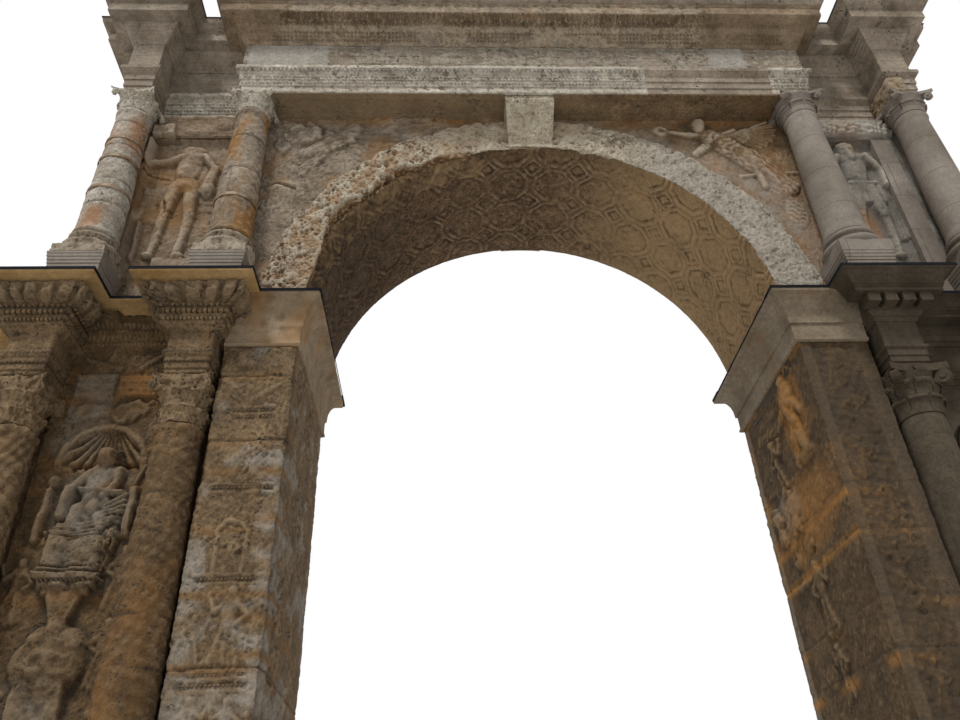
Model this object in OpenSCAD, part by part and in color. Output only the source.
// Triumphal arch of limestone with a lower and an upper order of columns.
// Units are millimetres. The origin is on the ground, in the middle of the passage,
// half way through the depth of the piers. X runs along the facade, Y runs through
// the passage from the front, at negative Y, to the back, and Z is up.

/* [Passage] */
// Clear width of the passage between the piers
opening_w = 5600; // [5000:50:6200]
// How far the centre of the arch lies below the top of the imposts
arch_drop = 164; // [0:4:300]
// Radial thickness of the ring of voussoirs
ring_t = 600; // [450:10:700]
// Depth of the facing voussoirs, measured into the vault
archivolt_d = 430; // [300:10:600]
// Width of the keystone at its foot
keystone_w = 600; // [450:10:750]
// How far the head of the keystone leans out from the archivolt
keystone_lean = 350; // [200:10:400]
// Width of the sunk octagons in the vault, from flat to flat
octagon_w = 540; // [400:10:580]
// Width of the ribs between the octagons
rib_w = 88; // [60:2:120]
// Depth of the sunk octagons
octagon_sunk = 25; // [10:5:40]

/* [Piers] */
// Depth of the piers, from pilaster face to pilaster face
pier_d = 2025; // [1800:25:2600]
// Width of the pilaster strip beside the passage
strip_w = 810; // [650:10:950]
// How far the lower wall lies behind the pilaster face
wall_set = 320; // [260:10:400]
// Height of the podium
podium_h = 1500; // [1200:20:1800]
// How far the plinth and cap of the podium stand out
podium_p = 50; // [30:5:80]
// Depth of the sunk panels in the pilasters and jambs
panel_sunk = 25; // [10:5:50]
// Width of the plain border round the sunk panels
panel_border = 140; // [80:10:180]

/* [Lower order] */
// Height of the lower columns, from podium to architrave
lower_column_h = 4900; // [4500:50:5400]
// Radius of the lower shafts at the foot
lower_r = 270; // [240:5:280]
// Radius of the lower shafts under the neck ring
lower_r_top = 225; // [200:5:240]
// Clear gap between the pilaster strip and the first shaft
shaft_gap = 20; // [10:5:80]
// Distance between the axes of the inner and outer lower columns
lower_bay_w = 1680; // [1500:20:1900]
// Height of the lower bases with their square plinths
lower_base_h = 300; // [240:10:360]
// Height of the lower capitals
lower_cap_h = 580; // [500:10:640]
// Height of the lower architrave
lower_architrave_h = 280; // [240:10:340]
// Height of the lower frieze
lower_frieze_h = 320; // [260:10:380]
// Height of the lower cornice
lower_cornice_h = 500; // [460:10:560]
// How far the lower cornice stands out from the frieze
lower_cornice_p = 430; // [360:10:470]
// Height of the impost with its fascia and bead
impost_h = 640; // [560:10:720]
// How far the impost stands out from the pier
impost_p = 230; // [180:10:280]

/* [Niches] */
// Radius of the shell niches in the lower bays
niche_r = 400; // [320:10:440]
// Height of the upright part of the niche
niche_h = 1250; // [1000:50:1500]
// How far the crown of the niche rises above the foot of the capitals
niche_rise = 200; // [0:20:260]
// Height of the altar that carries the figure
ledge_h = 500; // [400:10:560]
// How far the altar stands out from the wall
ledge_p = 150; // [100:10:200]

/* [Upper order] */
// Height of the pedestals under the upper columns
pedestal_h = 330; // [260:10:400]
// Height of the upper bases with their square plinths
upper_base_h = 390; // [320:10:460]
// Radius of the upper shafts at the foot
upper_r = 250; // [220:5:260]
// Radius of the upper shafts under the neck ring
upper_r_top = 205; // [180:5:215]
// Height of the upper capitals
upper_cap_h = 350; // [300:10:420]
// How far the upper inner columns stand inside the lower ones
upper_shift = 200; // [170:10:230]
// Distance between the axes of the inner and outer upper columns
upper_bay_w = 1540; // [1400:20:1700]
// How far the upper wall lies behind the pilaster face
upper_set = 60; // [20:10:120]
// How much further back the outer bays lie
bay_set = 100; // [40:10:160]
// Height of the lintel over the outer bays, below the architrave
lintel_h = 410; // [360:10:480]
// Width of the plain strip beside the right bay panel
bay_strip_w = 210; // [160:10:240]
// Clear height between the crown of the ring and the architrave
crown_gap = 54; // [30:2:120]
// Height of the upper architrave
upper_architrave_h = 460; // [380:10:540]
// Height of the upper frieze
upper_frieze_h = 530; // [440:10:620]
// Height of the upper cornice
upper_cornice_h = 680; // [600:10:760]
// How far the upper cornice stands out from the frieze
upper_cornice_p = 450; // [380:10:470]

/* [Metalwork] */
// Thickness of the sheet metal on the ledges
sheet_t = 6; // [3:1:10]
// How far the sheet metal turns down over the edges
sheet_lip = 30; // [20:5:50]
// Height of the iron bands round the left shafts
band_h = 45; // [30:5:60]
// Thickness of the iron bands
band_t = 12; // [8:1:20]

/* [Hidden] */

// Facets of round work
$fn = 64;
// Cutting shapes reach this far past the faces that they open
over = 10;
// Longer than any piece, for cutting planes
far = 20000;
// Play between the flashings and the stone edges that they turn down over
flashing_gap = 2;
// Depth of the cut in the soffit of the upper architrave
soffit_cut = 35;
// Radius of the ribs in the shells
rib_r = 18;
// Play between the iron bands and the stone
band_gap = 0.3;
// Clear gap between a wall and the shafts before it
lower_wall_gap = 5;
upper_wall_gap = 10;
// Neck rings of the two orders
lower_ring_h = 90;
upper_ring_h = 80;
// Square plinths under the bases
lower_plinth_h = 110;
upper_plinth_h = 140;
// Wall beyond the outer upper shafts
upper_end_w = 150;

// Places across the facade
jamb_x = opening_w / 2;
strip_x = jamb_x + strip_w;
lower_inner_x = strip_x + shaft_gap + lower_r;
lower_outer_x = lower_inner_x + lower_bay_w;
party_x = lower_outer_x + lower_r_top + lower_cornice_p;
upper_inner_x = lower_inner_x - upper_shift;
upper_outer_x = upper_inner_x + upper_bay_w;
upper_end_x = upper_outer_x + upper_r_top + upper_end_w;
niche_x = (lower_inner_x + lower_outer_x) / 2;
bay_x = (upper_inner_x + upper_outer_x) / 2;

// Distances from the middle of the depth; the front has them negative
face_y = pier_d / 2;
wall_y = face_y - wall_set;
lower_axis_y = wall_y + lower_r + lower_wall_gap;
lower_front_y = lower_axis_y + lower_r_top;
spandrel_y = face_y - upper_set;
bay_y = spandrel_y - bay_set;
upper_axis_y = spandrel_y + upper_r + upper_wall_gap;
upper_front_y = upper_axis_y + upper_r_top;

// Heights above the ground
lower_shaft_z = podium_h + lower_base_h;
lower_architrave_z = podium_h + lower_column_h;
lower_cap_z = lower_architrave_z - lower_cap_h;
lower_frieze_z = lower_architrave_z + lower_architrave_h;
lower_cornice_z = lower_frieze_z + lower_frieze_h;
impost_top = lower_cornice_z + lower_cornice_h;
impost_z = impost_top - impost_h;
arch_z = impost_top - arch_drop;
ring_r = jamb_x + ring_t;
upper_architrave_z = arch_z + ring_r + crown_gap;
upper_base_z = impost_top + pedestal_h;
upper_shaft_z = upper_base_z + upper_base_h;
upper_cap_z = upper_architrave_z - upper_cap_h;
upper_frieze_z = upper_architrave_z + upper_architrave_h;
upper_cornice_z = upper_frieze_z + upper_frieze_h;
top_z = upper_cornice_z + upper_cornice_h;
niche_z = lower_cap_z + niche_rise - niche_h;
ledge_z = niche_z - ledge_h;
bay_top_z = upper_architrave_z - lintel_h;
lower_shaft_h = lower_cap_z - lower_shaft_z;
upper_shaft_h = upper_cap_z - upper_shaft_z;

// Half widths of the square pieces under the columns
podium_half = lower_r + 110;
lower_plinth_half = lower_r + 90;
upper_plinth_half = upper_r + 60;
pedestal_half = upper_r + 30;

// Colours of the stone
old_stone = "#a08660";
new_stone = "#9a9184";
rough_stone = "#beb2a0";
golden_stone = "#b28c5c";
vault_stone = "#7a6142";
metal = "#2d3037";
iron = "#8a7a68";

// Profiles run upwards as pairs of projection and height
podium_profile = [
    [podium_p, 0], [podium_p, 240], [0, 300],
    [0, podium_h - 130], [podium_p, podium_h - 70], [podium_p, podium_h]
];
lower_architrave_profile = [
    [-24, 0], [-24, 70], [-12, 70], [-12, 150], [0, 150], [0, 230],
    [22, 250], [22, lower_architrave_h]
];
impost_profile = concat(
    [[25, 0], [45, 12], [45, 38], [30, 50], [30, 240], [52, 240], [52, 262]],
    [for (a = [0:15:90]) [52 + (impost_p - 70) * (1 - cos(a)), 262 + (impost_h - 330) * sin(a)]],
    [[impost_p, impost_h - 60], [impost_p, impost_h]]
);
plain_cornice_profile = concat(
    [[0, 0], [30, 20], [30, 70], [70, 90], [70, 150], [130, 180], [130, 290]],
    [for (a = [0:15:90]) [150 + (lower_cornice_p - 170) * (1 - cos(a)), 300 + (lower_cornice_h - 350) * sin(a)]],
    [[lower_cornice_p, lower_cornice_h - 45], [lower_cornice_p, lower_cornice_h]]
);
rich_cornice_profile = concat(
    [[0, 0], [18, 0], [40, 45], [58, 45], [90, 100], [100, 100], [100, 240]],
    [[280, 240], [280, 290], [292, 290], [292, 315], [304, 315], [304, 335]],
    [for (a = [0:15:90]) [310 + (lower_cornice_p - 320) * (1 - cos(a)), 340 + (lower_cornice_h - 380) * sin(a)]],
    [[lower_cornice_p, lower_cornice_h - 32], [lower_cornice_p, lower_cornice_h]]
);
upper_architrave_profile = [
    [-30, 0], [-30, 110], [-15, 110], [-15, 230], [0, 230], [0, 350],
    [20, 365], [55, 400], [60, 400], [60, upper_architrave_h]
];
upper_cornice_profile = concat(
    [[0, 0]],
    [for (i = [1:6]) each [[i * 28 - 12, (i - 1) * 52], [i * 28 - 4, i * 52 - 16]]],
    [[170, 312], [335, 312], [335, 490], [352, 490], [352, 525]],
    [for (a = [0:15:90]) [358 + (upper_cornice_p - 362) * sin(a), 530 + (upper_cornice_h - 570) * (1 - cos(a))]],
    [[upper_cornice_p, upper_cornice_h - 35], [upper_cornice_p, upper_cornice_h]]
);

// Closed outline of a block between a and b whose sides follow a profile
function outline(a, b, profile) = concat(
    [for (p = profile) [b + p[0], p[1]]],
    [for (i = [len(profile) - 1:-1:0]) [a - profile[i][0], profile[i][1]]]
);

// Radius of a shaft at height z between its foot and its neck
function shaft_radius(z, z0, z1, r0, r1) = r0 + (r1 - r0) * pow((z - z0) / (z1 - z0), 1.6);

// Rectangular block with the same moulding mitred round its four sides
module moulded_block(x0, x1, y0, y1, profile) {
    intersection() {
        translate([0, far / 2, 0]) rotate([90, 0, 0])
            linear_extrude(far) polygon(outline(x0, x1, profile));
        translate([-far / 2, 0, 0]) rotate([90, 0, 90])
            linear_extrude(far) polygon(outline(y0, y1, profile));
    }
}

// Plain block between two corners
module box(x0, x1, y0, y1, z0, z1) {
    translate([x0, y0, z0]) cube([x1 - x0, y1 - y0, z1 - z0]);
}

// Right side of the arch, or its mirror image on the left
module side(s) {
    if (s < 0) mirror([1, 0, 0]) children();
    else children();
}

// Front face of the arch, or its mirror image on the back
module face(f) {
    if (f > 0) mirror([0, 1, 0]) children();
    else children();
}

module both_faces() {
    children();
    mirror([0, 1, 0]) children();
}

// Places children at the two columns of one order, on both sides of the passage
module at_columns(inner_x, outer_x, axis_y) {
    for (x = [-outer_x, -inner_x, inner_x, outer_x]) translate([x, -axis_y, 0]) children();
}

// Podium under one pier, with pedestals under the columns
module podium(s) {
    side(s) intersection() {
        union() {
            moulded_block(jamb_x, party_x + far / 4, -wall_y, wall_y, podium_profile);
            moulded_block(jamb_x, strip_x, -face_y, face_y, podium_profile);
            for (x = [lower_inner_x, lower_outer_x])
                moulded_block(x - podium_half, x + podium_half,
                    -lower_axis_y - podium_half, lower_axis_y + podium_half, podium_profile);
        }
        box(0, party_x, -far / 2, far / 2, 0, podium_h);
    }
}

// Half dome and upright hollow of a shell niche, on the front wall
module niche() {
    translate([niche_x, -wall_y, niche_z]) {
        translate([0, 0, niche_h - niche_r]) difference() {
            sphere(niche_r);
            shell_ribs();
        }
        cylinder(h = niche_h - niche_r, r = niche_r);
    }
}

// Ribs of the shell, left standing where they spread from the back to the rim
module shell_ribs() {
    difference() {
        for (a = [15:25:165]) rotate([0, -a, 0])
            box(niche_r * 0.3, niche_r + over, 2 * rib_r, niche_r + over, -rib_r, rib_r);
        sphere(niche_r - rib_r);
    }
}

// Moulded altar under a niche, spreading towards its top
module ledge() {
    half = niche_r * 0.72;
    translate([niche_x, -wall_y, ledge_z]) intersection() {
        moulded_block(-half, half, -ledge_p + 60, ledge_p, [
            [-90, 0], [-70, ledge_h * 0.12], [-10, ledge_h * 0.2], [-10, ledge_h * 0.28],
            [15, ledge_h * 0.32], [15, ledge_h * 0.4], [-5, ledge_h * 0.44], [-5, ledge_h * 0.8],
            [30, ledge_h * 0.86], [30, ledge_h]
        ]);
        box(-far / 4, far / 4, -far / 4, 0, 0, ledge_h);
    }
}

// Masonry of one pier behind the pilasters and between the orders
module pier(s) {
    side(s) {
        difference() {
            union() {
                box(jamb_x, party_x, -wall_y, wall_y, podium_h, lower_architrave_z);
                box(jamb_x, strip_x, -wall_y, wall_y, podium_h, impost_z);
            }
            both_faces() niche();
            jamb_panel();
        }
        both_faces() ledge();
    }
}

// Sunk panel in the jamb, cut through pier and pilasters alike
module jamb_panel() {
    box(jamb_x - over, jamb_x + panel_sunk, -face_y + panel_border, face_y - panel_border,
        podium_h + panel_border, impost_z - panel_border);
}

// Pilaster strips on the front and back of one pier
module pilasters(s) {
    side(s) both_faces() difference() {
        box(jamb_x, strip_x, -face_y, -wall_y, podium_h, impost_z);
        jamb_panel();
        box(jamb_x + panel_border, strip_x - panel_border, -face_y - over, -face_y + panel_sunk,
            podium_h + panel_border, impost_z - panel_border);
    }
}

// Attic base on a square plinth, cut off where it meets the wall behind
module attic_base(plinth_half, r, h, plinth_h, cut_y) {
    m = h - plinth_h;
    intersection() {
        union() {
            box(-plinth_half, plinth_half, -plinth_half, plinth_half, 0, plinth_h);
            translate([0, 0, plinth_h]) rotate_extrude() polygon(concat(
                [[0, 0]],
                [for (a = [-90:18:90]) [r + 50 + m * 0.18 * cos(a), m * 0.19 + m * 0.19 * sin(a)]],
                [[r + 40, m * 0.42]],
                [for (a = [-90:22.5:90]) [r + 36 - m * 0.10 * cos(a), m * 0.53 + m * 0.09 * sin(a)]],
                [for (a = [-90:22.5:90]) [r + 22 + m * 0.12 * cos(a), m * 0.77 + m * 0.12 * sin(a)]],
                [[r + 12, m * 0.90], [r + 12, m], [0, m]]
            ));
        }
        box(-far / 4, far / 4, -far / 4, cut_y, 0, h);
    }
}

// Shaft with a gentle swelling, a foot fillet and a neck ring
module shaft(r0, r1, h, ring_h) {
    foot = 60;
    rotate_extrude() polygon(concat(
        [[0, 0], [r0 + 12, 0], [r0 + 12, foot * 0.4]],
        [for (a = [0:30:90]) [r0 + 12 - 12 * sin(a), foot * 0.4 + foot * 0.6 * (1 - cos(a))]],
        [for (i = [1:5]) let (z = foot + (h - ring_h - foot) * i / 5)
            [shaft_radius(z, foot, h - ring_h, r0, r1), z]],
        [for (a = [-90:30:90]) [r1 + 8 + ring_h * 0.38 * cos(a), h - ring_h * 0.5 + ring_h * 0.5 * sin(a)]],
        [[0, h]]
    ));
}

// One row of leaves that lean out at their tips, parted by wedges
module leaf_row(r, z0, z1, lean, turn) {
    count = 8;
    rise = z1 - z0;
    rotate(turn) difference() {
        rotate_extrude() polygon([
            [r * 0.8, z0], [r * 1.05, z0], [r * 1.13, z0 + rise * 0.5], [r * (1.06 + lean), z0 + rise * 0.86],
            [r * (1.13 + lean), z0 + rise * 0.78], [r * (1.19 + lean), z0 + rise * 0.86],
            [r * (1.14 + lean), z1], [r * 1.02, z1 - rise * 0.04], [r * 0.8, z1 - rise * 0.04]
        ]);
        for (i = [0:count - 1]) rotate((i + 0.5) * 360 / count) translate([0, 0, z0 + rise * 0.3])
            linear_extrude(rise) polygon([[r * 1.04, 0], [r * 2, -r * 0.36], [r * 2, r * 0.36]]);
    }
}

// Bell capital with rows of leaves and corner scrolls under a hollow-sided abacus
module capital(r, h, rows, cut_y) {
    abacus_h = h * 0.15;
    abacus_half = r * 1.42;
    scroll_r = h * 0.14;
    scroll_x = abacus_half * 1.15;
    hollow_r = abacus_half * 2.3;
    hollow_depth = abacus_half * 0.22;
    row_h = h * (rows > 1 ? 0.34 : 0.5);
    intersection() {
        union() {
            rotate_extrude() polygon(concat(
                [[0, 0]],
                [for (i = [0:6]) [r * (0.96 + 0.34 * pow(i / 6, 2.4)), (h - abacus_h) * i / 6]],
                [[0, h - abacus_h]]
            ));
            for (i = [0:rows - 1])
                leaf_row(r, h * (0.01 + 0.21 * i), row_h * (i + 1), 0.14 + 0.08 * i, 22.5 * (i + 1));
            translate([0, 0, h - abacus_h]) difference() {
                box(-abacus_half, abacus_half, -abacus_half, abacus_half, 0, abacus_h);
                for (a = [0:90:270]) rotate(a)
                    translate([abacus_half + hollow_r - hollow_depth, 0, -over])
                        cylinder(h = abacus_h + 2 * over, r = hollow_r);
            }
            for (a = [45:90:315]) rotate(a) translate([scroll_x, 0, h - abacus_h - scroll_r * 0.92]) {
                rotate([90, 0, 0]) cylinder(h = r * 0.34, r = scroll_r, center = true);
                rotate([90, 0, 0]) cylinder(h = r * 0.46, r = scroll_r * 0.4, center = true);
            }
            for (a = [0:90:270]) rotate(a) translate([abacus_half - hollow_depth, 0, h - abacus_h * 0.5])
                rotate([0, 90, 0]) cylinder(h = r * 0.28, r = abacus_h * 0.46, center = true, $fn = 12);
        }
        box(-far / 4, far / 4, -far / 4, cut_y, 0, h);
    }
}

// Ressauts of the lower entablature over its columns, and the wall between them
module lower_course(z, profile) {
    translate([0, 0, z]) {
        moulded_block(strip_x - far / 4, party_x + far / 4, -wall_y, wall_y, profile);
        for (x = [lower_inner_x, lower_outer_x])
            moulded_block(x - lower_r_top, x + lower_r_top, -lower_front_y, lower_front_y, profile);
    }
}

module lower_architrave(s) {
    side(s) intersection() {
        lower_course(lower_architrave_z, lower_architrave_profile);
        box(strip_x, party_x, -far / 2, far / 2, lower_architrave_z, lower_frieze_z);
    }
}

module lower_frieze(s) {
    side(s) {
        box(strip_x, party_x, -wall_y, wall_y, lower_frieze_z, lower_cornice_z);
        for (x = [lower_inner_x, lower_outer_x]) both_faces()
            box(x - lower_r_top, x + lower_r_top, -lower_front_y, -wall_y, lower_frieze_z, lower_cornice_z);
    }
}

// Moulded impost through the depth of the pier, over the pilasters and the jamb
module impost_body() {
    intersection() {
        translate([0, 0, impost_z])
            moulded_block(jamb_x, strip_x + impost_p, -face_y, face_y, impost_profile);
        box(0, strip_x, -far / 2, far / 2, impost_z, impost_top);
    }
}

module impost(s) {
    side(s) impost_body();
}

// Row of brackets under the right cornice slabs
module brackets() {
    bracket_half = 70;
    bracket_l = 150;
    bracket_h = 120;
    back = 100;
    pitch = (2 * (lower_r_top + back) + bracket_l) / 4;
    for (x = [lower_inner_x, lower_outer_x], i = [-1.5:1:1.5])
        translate([x + i * pitch, 0, lower_cornice_z + bracket_h])
            box(-bracket_half, bracket_half, -lower_front_y - back - bracket_l,
                -lower_front_y - back + over, 0, bracket_h + over);
}

// Lower cornice of one side, breaking out over the columns
module lower_cornice(s) {
    profile = s > 0 ? rich_cornice_profile : plain_cornice_profile;
    side(s) difference() {
        intersection() {
            union() {
                lower_course(lower_cornice_z, profile);
                if (s > 0) both_faces() brackets();
            }
            box(jamb_x, party_x, -far / 2, far / 2, lower_cornice_z, impost_top);
        }
        box(0, strip_x, -face_y - impost_p, face_y + impost_p, 0, impost_top + over);
    }
}

// Plan of the lower cornice at its top edge, grown by g
module ledge_plan(g) {
    p = lower_cornice_p + g;
    square_at(jamb_x - impost_p - g, strip_x + p, face_y + impost_p + g);
    square_at(jamb_x, party_x, wall_y + p);
    for (x = [lower_inner_x, lower_outer_x])
        square_at(x - lower_r_top - p, min(x + lower_r_top + p, party_x), lower_front_y + p);
}

// Rectangle from x0 to x1, as deep before the middle as behind it
module square_at(x0, x1, y) {
    translate([x0, -y]) square([x1 - x0, 2 * y]);
}

// Sheet metal over the lower cornices, turned down over their edges
module ledge_flashings() {
    for (s = [-1, 1]) side(s) translate([0, 0, impost_top]) difference() {
        translate([0, 0, -sheet_lip]) linear_extrude(sheet_lip + sheet_t) ledge_plan(flashing_gap + sheet_t);
        translate([0, 0, -sheet_lip - over]) linear_extrude(sheet_lip + over) ledge_plan(flashing_gap);
        translate([-far / 2, -far / 2, -sheet_lip - over]) cube([far / 2 + jamb_x - impost_p - 2 * sheet_t, far, over]);
        translate([0, 0, -over]) linear_extrude(sheet_t + 2 * over) {
            square_at(0, ring_r + 15, face_y);
            square_at(0, upper_end_x, spandrel_y);
            for (x = [upper_inner_x, upper_outer_x])
                square_at(x - pedestal_half, x + pedestal_half, upper_axis_y + pedestal_half);
        }
    }
}

// Ring of voussoirs between two depths, with sunk octagons in its soffit
module ring(y0, y1) {
    difference() {
        intersection() {
            translate([0, y0, arch_z]) rotate([-90, 0, 0]) difference() {
                cylinder(h = y1 - y0, r = ring_r, $fn = 180);
                translate([0, 0, -over]) cylinder(h = y1 - y0 + 2 * over, r = jamb_x, $fn = 180);
            }
            box(-far / 2, far / 2, -far / 2, far / 2, impost_top, far);
        }
        soffit_net();
    }
}

// Octagons in two rows round the vault, with small squares set on their points
module soffit_net() {
    pitch = octagon_w + rib_w;
    turn = pitch / jamb_x * 180 / PI;
    count = floor(90 / turn - 0.5);
    for (i = [-count:count]) translate([0, 0, arch_z]) rotate([0, i * turn, 0]) {
        for (y = [-0.5, 0.5]) translate([0, y * pitch, jamb_x - 5 * over]) rotate(22.5)
            cylinder(h = 5 * over + octagon_sunk, r = octagon_w / 2 / cos(22.5), $fn = 8);
        if (i < count) rotate([0, turn / 2, 0]) translate([0, 0, jamb_x - 5 * over])
            cylinder(h = 5 * over + octagon_sunk, r = pitch * 0.5 - octagon_w * 0.28, $fn = 4);
    }
}

// Wedge that leans out from the crown of the archivolt
module keystone(f) {
    head_z = upper_architrave_z;
    foot_z = arch_z + jamb_x;
    splay = 45;
    face(f) translate([0, -face_y, 0]) difference() {
        intersection() {
            rotate([90, 0, 90]) translate([0, 0, -keystone_w]) linear_extrude(2 * keystone_w)
                polygon([[0, foot_z - splay], [-over, foot_z - splay], [-over, foot_z + splay],
                    [-keystone_lean, head_z - 2 * splay], [-keystone_lean, head_z], [0, head_z]]);
            translate([0, over, 0]) rotate([90, 0, 0]) linear_extrude(keystone_lean + 2 * over)
                polygon([[-keystone_w / 2, foot_z - splay], [keystone_w / 2, foot_z - splay],
                    [keystone_w / 2 + splay, head_z], [-keystone_w / 2 - splay, head_z]]);
        }
        translate([0, 2 * over, arch_z]) rotate([90, 0, 0])
            cylinder(h = keystone_lean + 4 * over, r = jamb_x, $fn = 180);
    }
}

// Wall over one haunch of the arch, between the middle and the inner column
module spandrels(s) {
    side(s) difference() {
        box(0, upper_inner_x, -spandrel_y, spandrel_y, impost_top, upper_architrave_z);
        translate([0, -far / 2, arch_z]) rotate([-90, 0, 0]) cylinder(h = far, r = ring_r, $fn = 180);
    }
}

// Wall of one outer bay with its lintel, and a plain strip beside the right panel
module bay_wall(s) {
    side(s) {
        box(upper_inner_x, upper_end_x, -bay_y, bay_y, impost_top, upper_architrave_z);
        both_faces() {
            box(upper_inner_x, upper_end_x, -spandrel_y, -bay_y, bay_top_z, upper_architrave_z);
            if (s > 0) box(upper_outer_x - upper_r - bay_strip_w, upper_end_x,
                -spandrel_y, -bay_y, impost_top, bay_top_z);
        }
    }
}

// Stepped pedestal under one upper column, spreading upwards
module pedestal() {
    d = upper_axis_y - spandrel_y;
    intersection() {
        translate([0, 0, impost_top])
            moulded_block(-pedestal_half, pedestal_half, -pedestal_half, pedestal_half, [
                [0, 0], [0, pedestal_h - 160], [8, pedestal_h - 160], [8, pedestal_h - 125],
                [16, pedestal_h - 115], [16, pedestal_h - 80], [24, pedestal_h - 70],
                [24, pedestal_h - 35], [30, pedestal_h - 30], [30, pedestal_h]
            ]);
        box(-far / 4, far / 4, -far / 4, d, impost_top, upper_base_z);
    }
}

// Courses of the upper entablature: straight over the arch, out again over the outer columns
module upper_course(z, profile) {
    translate([0, 0, z]) {
        moulded_block(-upper_end_x, upper_end_x, -spandrel_y, spandrel_y, profile);
        moulded_block(-upper_inner_x - upper_r_top, upper_inner_x + upper_r_top,
            -upper_front_y, upper_front_y, profile);
        for (x = [-upper_outer_x, upper_outer_x])
            moulded_block(x - upper_r_top, x + upper_r_top, -upper_front_y, upper_front_y, profile);
    }
}

module upper_frieze_plan(g) {
    translate([-upper_end_x - g, -spandrel_y - g]) square([2 * (upper_end_x + g), 2 * (spandrel_y + g)]);
    square_at(-upper_inner_x - upper_r_top - g, upper_inner_x + upper_r_top + g, upper_front_y + g);
    for (x = [-upper_outer_x, upper_outer_x])
        square_at(x - upper_r_top - g, x + upper_r_top + g, upper_front_y + g);
}

module top_sheet() {
    translate([0, 0, top_z]) linear_extrude(sheet_t) upper_frieze_plan(upper_cornice_p + 15);
}

// Iron band round a shaft, with its foot at height z above the foot of the shaft
module band(z, r0, r1, h, ring_h) {
    foot = 60;
    low = shaft_radius(z, foot, h - ring_h, r0, r1) + band_gap;
    high = shaft_radius(z + band_h, foot, h - ring_h, r0, r1) + band_gap;
    rotate_extrude() polygon([[low, z], [low + band_t, z], [high + band_t, z + band_h], [high, z + band_h]]);
}

// Limb or trunk of a carved figure, from point a to point b, with blunt ends
module limb(a, b, ra, rb) {
    v = b - a;
    l = norm(v);
    translate(a) rotate([0, acos(v[2] / l), atan2(v[1], v[0])]) rotate_extrude() polygon([
        [0, -0.8 * ra], [0.6 * ra, -0.6 * ra], [ra, 0], [rb, l], [0.6 * rb, l + 0.6 * rb], [0, l + 0.8 * rb]
    ]);
}

// Worn standing figure carved against a wall, height h, feet at the origin
module standing_figure(h) {
    u = h / 8;
    limb([-0.55 * u, 0, 0.3 * u], [-0.38 * u, 0, 3.9 * u], 0.27 * u, 0.5 * u);
    limb([0.7 * u, 0, 0.3 * u], [0.36 * u, 0, 3.8 * u], 0.25 * u, 0.48 * u);
    limb([0, 0, 4.2 * u], [0.06 * u, 0, 6.0 * u], 0.7 * u, 0.86 * u);
}

// Arms of a standing figure, one raised
module arms(h) {
    u = h / 8;
    limb([-0.95 * u, 0.02 * u, 6.0 * u], [-1.75 * u, -0.1 * u, 5.1 * u], 0.27 * u, 0.2 * u);
    limb([-1.8 * u, -0.12 * u, 5.3 * u], [-1.95 * u, 0, 6.6 * u], 0.2 * u, 0.16 * u);
    limb([1.0 * u, 0.02 * u, 6.0 * u], [1.42 * u, -0.1 * u, 4.3 * u], 0.26 * u, 0.19 * u);
}

module niche_figures() {
    foot_r = niche_r * 0.48;
    foot_h = niche_h * 0.07;
    for (f = [-1, 1]) face(f) mirror([1, 0, 0])
        translate([niche_x, -wall_y + niche_r - foot_r, niche_z]) {
            cylinder(h = foot_h, r = foot_r);
            translate([0, 0, foot_h * 0.8]) standing_figure(niche_h * 0.9);
        }
}

// Height of the figures in the outer bays, and how far they stand out from the wall
function bay_figure_h() = (bay_top_z - impost_top) * 0.9;

module against_bay(h) {
    out = h * 0.02;
    translate([0, -bay_y - out, impost_top]) intersection() {
        children();
        box(-far / 4, far / 4, -far / 4, out, -over, far);
    }
}

module left_bay_figure() {
    h = bay_figure_h();
    translate([-bay_x, 0, 0]) against_bay(h) translate([0, 0, sheet_t + h * 0.01]) {
        standing_figure(h);
        arms(h);
    }
}

// Standing figure in armour with a staff, on the right
module right_bay_trophy() {
    h = bay_figure_h();
    u = h / 8;
    translate([bay_x - u * 0.45, 0, 0]) against_bay(h) translate([0, 0, sheet_t + h * 0.01]) {
        standing_figure(h);
        limb([0.08 * u, 0, 6.9 * u], [0.1 * u, 0, 7.4 * u], 0.36 * u, 0.42 * u);
        limb([0, 0, 3.3 * u], [0, 0, 4.5 * u], 0.95 * u, 0.72 * u);
        limb([1.12 * u, 0, 0.4 * u], [1.12 * u, 0, 6.2 * u], 0.09 * u, 0.09 * u);
    }
}

// Point on the spandrel at angle a round the arch, d outside its ring
function haunch(a, d, y) = [(ring_r + d) * cos(a), y, arch_z + (ring_r + d) * sin(a)];

// Reclining winged figure in the spandrel, leaning along the archivolt
module spandrel_figure(s) {
    t = ring_t / 4;
    side(s) translate([0, -spandrel_y, 0]) intersection() {
        union() {
            limb(haunch(39, 0.28 * ring_t, -12), haunch(49, 0.34 * ring_t, -12), t, 1.15 * t);
            limb(haunch(38, 0.28 * ring_t, -10), haunch(27, 0.4 * ring_t, -10), t, 0.5 * t);
            limb(haunch(50, 0.3 * ring_t, -8), haunch(60, 0.3 * ring_t, -8), 0.6 * t, 0.4 * t);
            limb(haunch(51, 0.75 * ring_t, -6), haunch(52.5, 0.95 * ring_t, -6), 0.45 * t, 0.5 * t);
            translate(haunch(46, 0.5 * ring_t, 0)) rotate([90, -20, 0]) linear_extrude(t * 0.45)
                polygon(ring_t * [[-0.1, -0.15], [0.25, -0.3], [0.8, -0.25], [1.2, -0.05],
                    [0.95, 0.1], [0.6, 0.3], [0.2, 0.42], [0, 0.3]]);
        }
        box(0, upper_inner_x - upper_r, -far / 4, 0, 0, upper_architrave_z - 2 * over);
    }
}

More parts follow.
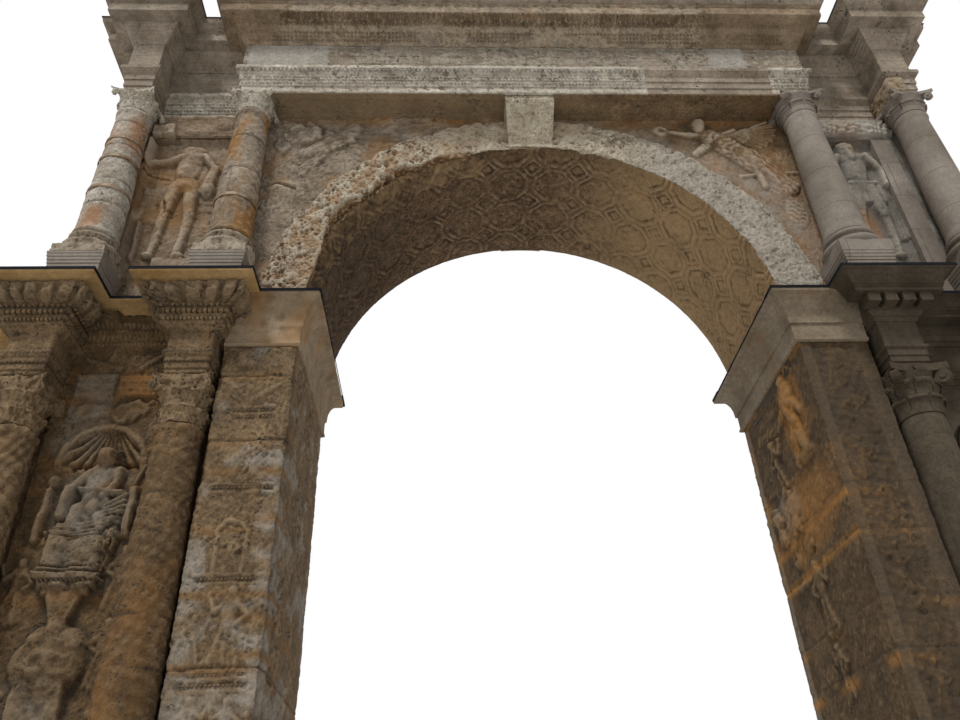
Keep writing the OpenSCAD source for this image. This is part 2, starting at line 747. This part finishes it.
module left_podium() { color(old_stone) podium(-1); }
module right_podium() { color(new_stone) podium(1); }
module left_pier() { color(old_stone) pier(-1); }
module right_pier() { color(new_stone) pier(1); }
module left_pilasters() { color(old_stone) pilasters(-1); }
module right_pilasters() { color(new_stone) pilasters(1); }

module lower_bases(f) {
    face(f) difference() {
        at_columns(lower_inner_x, lower_outer_x, lower_axis_y) translate([0, 0, podium_h])
            attic_base(lower_plinth_half, lower_r, lower_base_h, lower_plinth_h, lower_axis_y - wall_y);
        between_pilasters();
    }
}
module lower_shafts(f) {
    face(f) at_columns(lower_inner_x, lower_outer_x, lower_axis_y) translate([0, 0, lower_shaft_z])
        shaft(lower_r, lower_r_top, lower_shaft_h, lower_ring_h);
}
module lower_capitals(f) {
    face(f) difference() {
        at_columns(lower_inner_x, lower_outer_x, lower_axis_y) translate([0, 0, lower_cap_z])
            capital(lower_r_top, lower_cap_h, 2, lower_axis_y - wall_y);
        between_pilasters();
    }
}
// The room that the pilasters and the passage take out of the lower order
module between_pilasters() {
    box(-strip_x, strip_x, -face_y, far / 4, 0, far);
}
module front_lower_bases() { color(old_stone) lower_bases(-1); }
module front_lower_shafts() { color(old_stone) lower_shafts(-1); }
module front_lower_capitals() { color(old_stone) lower_capitals(-1); }
module back_lower_bases() { color(new_stone) lower_bases(1); }
module back_lower_shafts() { color(new_stone) lower_shafts(1); }
module back_lower_capitals() { color(new_stone) lower_capitals(1); }
module left_lower_architrave() { color(old_stone) lower_architrave(-1); }
module right_lower_architrave() { color(new_stone) lower_architrave(1); }
module left_lower_frieze() { color(old_stone) lower_frieze(-1); }
module right_lower_frieze() { color(new_stone) lower_frieze(1); }
module left_impost() { color(old_stone) impost(-1); }
module right_impost() { color(new_stone) impost(1); }
module left_lower_cornice() { color(golden_stone) lower_cornice(-1); }
module right_lower_cornice() { color(new_stone) lower_cornice(1); }
module left_spandrels() { color(old_stone) spandrels(-1); }
module right_spandrels() { color(new_stone) spandrels(1); }
module left_bay_wall() { color(old_stone) bay_wall(-1); }
module right_bay_wall() { color(new_stone) bay_wall(1); }
module front_archivolt() { color(rough_stone) ring(-face_y, -face_y + archivolt_d); }
module vault() { color(vault_stone) ring(-face_y + archivolt_d, face_y - archivolt_d); }
module back_archivolt() { color(rough_stone) ring(face_y - archivolt_d, face_y); }
module front_keystone() { color(rough_stone) keystone(-1); }
module back_keystone() { color(rough_stone) keystone(1); }

module upper_pedestals(f) {
    face(f) at_columns(upper_inner_x, upper_outer_x, upper_axis_y) pedestal();
}
module upper_bases(f) {
    face(f) at_columns(upper_inner_x, upper_outer_x, upper_axis_y) translate([0, 0, upper_base_z])
        attic_base(upper_plinth_half, upper_r, upper_base_h, upper_plinth_h, upper_axis_y - spandrel_y);
}
module upper_shafts(f) {
    face(f) at_columns(upper_inner_x, upper_outer_x, upper_axis_y) translate([0, 0, upper_shaft_z])
        shaft(upper_r, upper_r_top, upper_shaft_h, upper_ring_h);
}
module upper_capitals(f) {
    face(f) at_columns(upper_inner_x, upper_outer_x, upper_axis_y) translate([0, 0, upper_cap_z])
        capital(upper_r_top, upper_cap_h, 1, upper_axis_y - spandrel_y);
}
module front_upper_pedestals() { color(new_stone) upper_pedestals(-1); }
module front_upper_bases() { color(new_stone) upper_bases(-1); }
module front_upper_shafts() { color(old_stone) upper_shafts(-1); }
module front_upper_capitals() { color(new_stone) upper_capitals(-1); }
module back_upper_pedestals() { color(new_stone) upper_pedestals(1); }
module back_upper_bases() { color(new_stone) upper_bases(1); }
module back_upper_shafts() { color(new_stone) upper_shafts(1); }
module back_upper_capitals() { color(new_stone) upper_capitals(1); }

module upper_architrave() {
    color(new_stone) {
        difference() {
            upper_course(upper_architrave_z, upper_architrave_profile);
            sunk_soffit();
        }
    }
}

// The outer half of the soffit between the inner columns is cut back
module sunk_soffit() {
    both_faces() box(-upper_inner_x + upper_r, upper_inner_x - upper_r,
        -spandrel_y - (upper_front_y - spandrel_y) * 0.45, -spandrel_y, upper_architrave_z - over,
        upper_architrave_z + soffit_cut);
}
module upper_frieze() {
    color(old_stone) translate([0, 0, upper_frieze_z]) linear_extrude(upper_frieze_h) upper_frieze_plan(0);
}
module upper_cornice() { color(new_stone) upper_course(upper_cornice_z, upper_cornice_profile); }

module shaft_bands() {
    outer_bands = [0.315, 0.56, 0.72];
    inner_band = 0.25;
    color(iron) {
        for (k = outer_bands) translate([-upper_outer_x, -upper_axis_y, upper_shaft_z])
            band(k * upper_shaft_h, upper_r, upper_r_top, upper_shaft_h, upper_ring_h);
        translate([-upper_inner_x, -upper_axis_y, upper_shaft_z])
            band(inner_band * upper_shaft_h, upper_r, upper_r_top, upper_shaft_h, upper_ring_h);
    }
}
module spandrel_figures() { color(old_stone) { spandrel_figure(-1); spandrel_figure(1); } }

left_podium();
right_podium();
left_pier();
right_pier();
left_pilasters();
right_pilasters();
front_lower_bases();
front_lower_shafts();
front_lower_capitals();
back_lower_bases();
back_lower_shafts();
back_lower_capitals();
left_lower_architrave();
right_lower_architrave();
left_lower_frieze();
right_lower_frieze();
left_impost();
right_impost();
left_lower_cornice();
right_lower_cornice();
color(metal) ledge_flashings();
left_spandrels();
right_spandrels();
left_bay_wall();
right_bay_wall();
front_archivolt();
vault();
back_archivolt();
front_keystone();
back_keystone();
front_upper_pedestals();
front_upper_bases();
front_upper_shafts();
front_upper_capitals();
back_upper_pedestals();
back_upper_bases();
back_upper_shafts();
back_upper_capitals();
upper_architrave();
upper_frieze();
upper_cornice();
color(metal) top_sheet();
shaft_bands();
color(old_stone) niche_figures();
color(old_stone) left_bay_figure();
color(new_stone) right_bay_trophy();
spandrel_figures();
